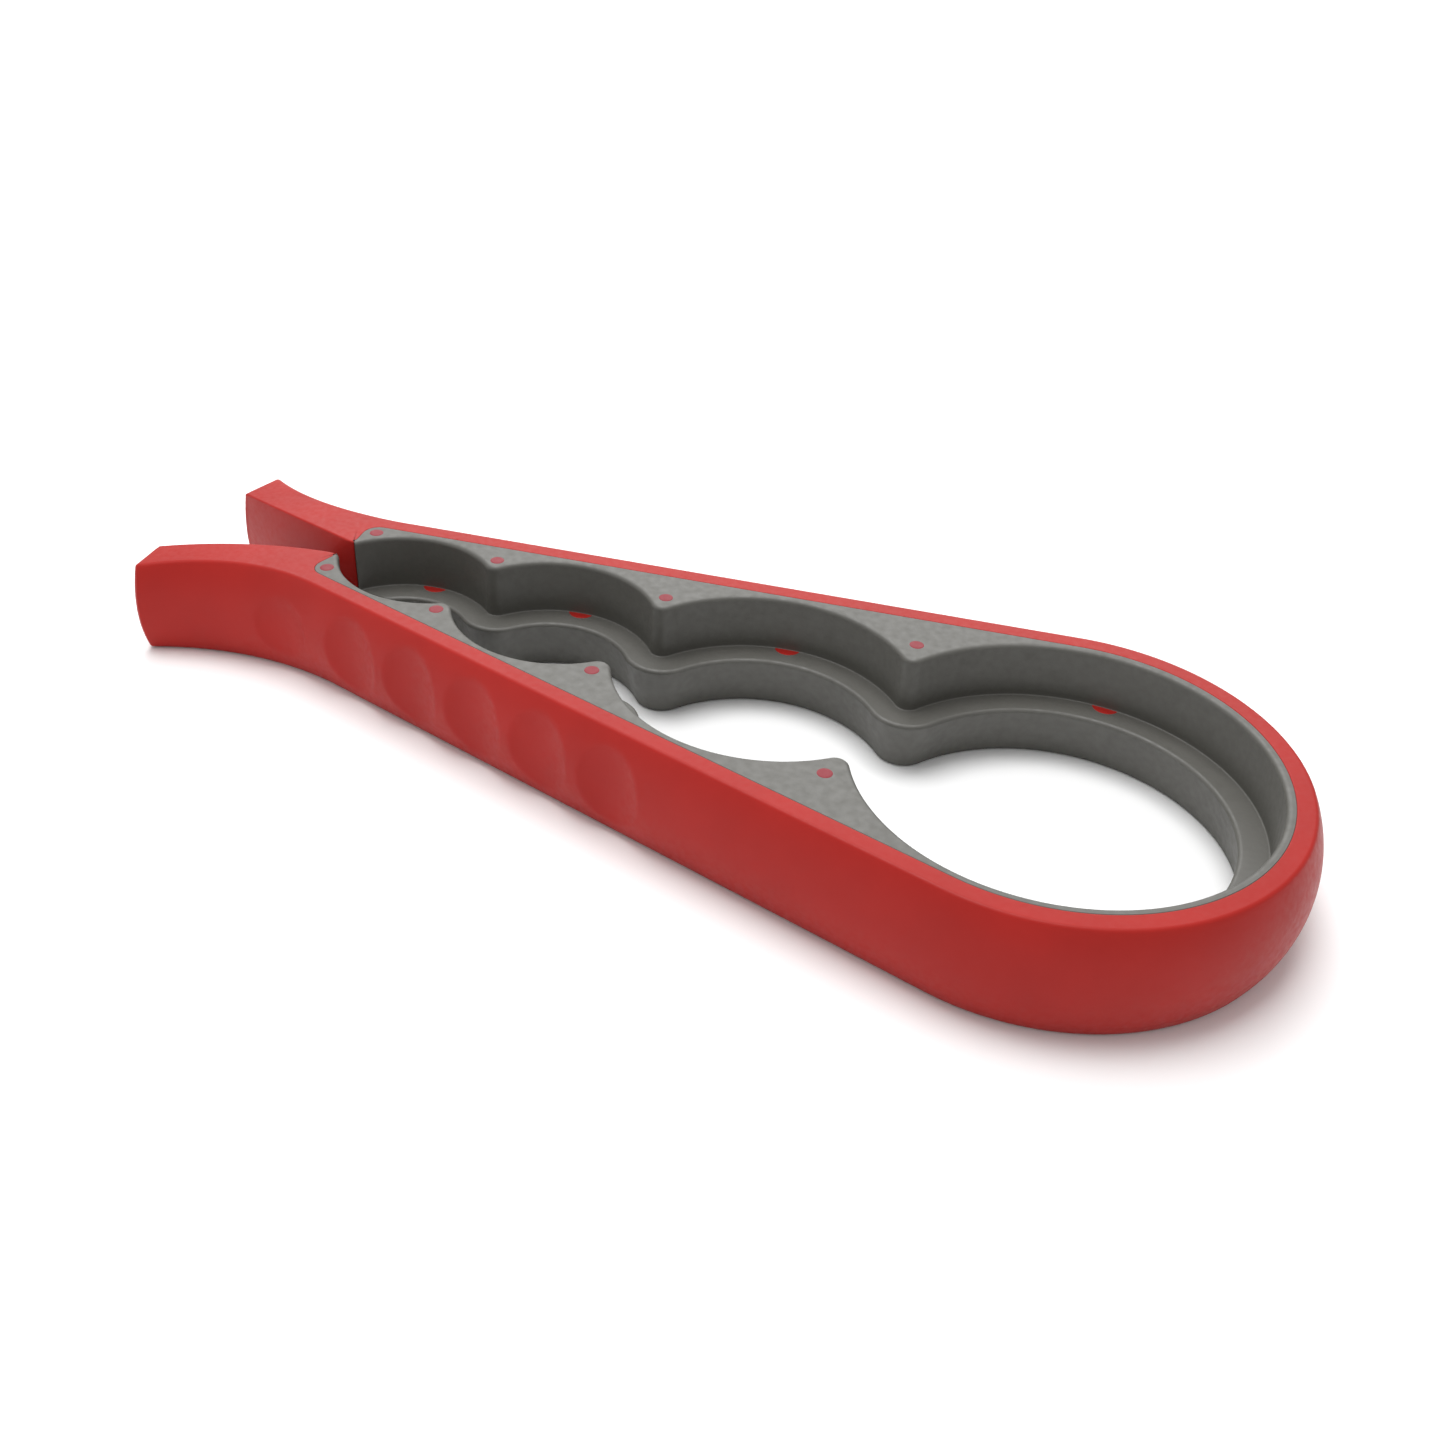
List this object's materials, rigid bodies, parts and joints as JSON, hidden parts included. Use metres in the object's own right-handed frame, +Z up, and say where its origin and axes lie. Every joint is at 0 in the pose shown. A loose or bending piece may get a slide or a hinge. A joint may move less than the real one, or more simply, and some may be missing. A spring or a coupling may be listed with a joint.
{
  "type": "manual jar and bottle opener",
  "caption": "Springy squeeze-loop opener for jar lids and bottle caps, with flared handles and a stepped rubber grip in scallops of falling size.",
  "frame": {"origin": "centre of the object's bounding box in plan, on the flat face it rests on", "axes": "+X along the loop from the handles to the round bow, +Y across the loop, +Z up out of the open face of the grips"},
  "size_m": [0.2198, 0.0854, 0.0211],
  "materials": {
    "frame_plastic": "satin moulded polypropylene, light red where it faces up",
    "grip_rubber": "matte soft overmoulded rubber"
  },
  "bodies": {
    "bow": {"bow_frame": "frame_plastic", "bow_liner": "grip_rubber"},
    "near_arm": {"near_arm_frame": "frame_plastic", "near_handle": "frame_plastic", "near_arm_liner": "grip_rubber", "near_nose_post_1": "frame_plastic", "near_nose_post_2": "frame_plastic", "near_nose_post_3": "frame_plastic", "near_nose_post_4": "frame_plastic", "near_ledge_key_1": "frame_plastic", "near_ledge_key_2": "frame_plastic", "near_ledge_key_3": "frame_plastic", "near_ledge_key_4": "frame_plastic"},
    "far_arm": {"far_arm_frame": "frame_plastic", "far_handle": "frame_plastic", "far_arm_liner": "grip_rubber", "far_nose_post_1": "frame_plastic", "far_nose_post_2": "frame_plastic", "far_nose_post_3": "frame_plastic", "far_nose_post_4": "frame_plastic", "far_ledge_key_1": "frame_plastic", "far_ledge_key_2": "frame_plastic", "far_ledge_key_3": "frame_plastic", "far_ledge_key_4": "frame_plastic"}
  },
  "joints": [
    {"name": "near_arm_flex", "type": "hinge", "parent": "bow", "child": "near_arm", "pos_m": [0.10462, 0, 0], "axis": [0, 0, 1], "range_deg": [-0.7, 5], "stiffness_Nm_per_rad": 6, "deforming": ["bow_frame", "bow_liner"]},
    {"name": "far_arm_flex", "type": "hinge", "parent": "bow", "child": "far_arm", "pos_m": [0.10462, 0, 0], "axis": [0, 0, 1], "range_deg": [-5, 0.7], "stiffness_Nm_per_rad": 6, "deforming": ["bow_frame", "bow_liner"]}
  ],
  "couplings": [
    {"joint": "far_arm_flex", "follows": "near_arm_flex", "ratio": -1}
  ]
}
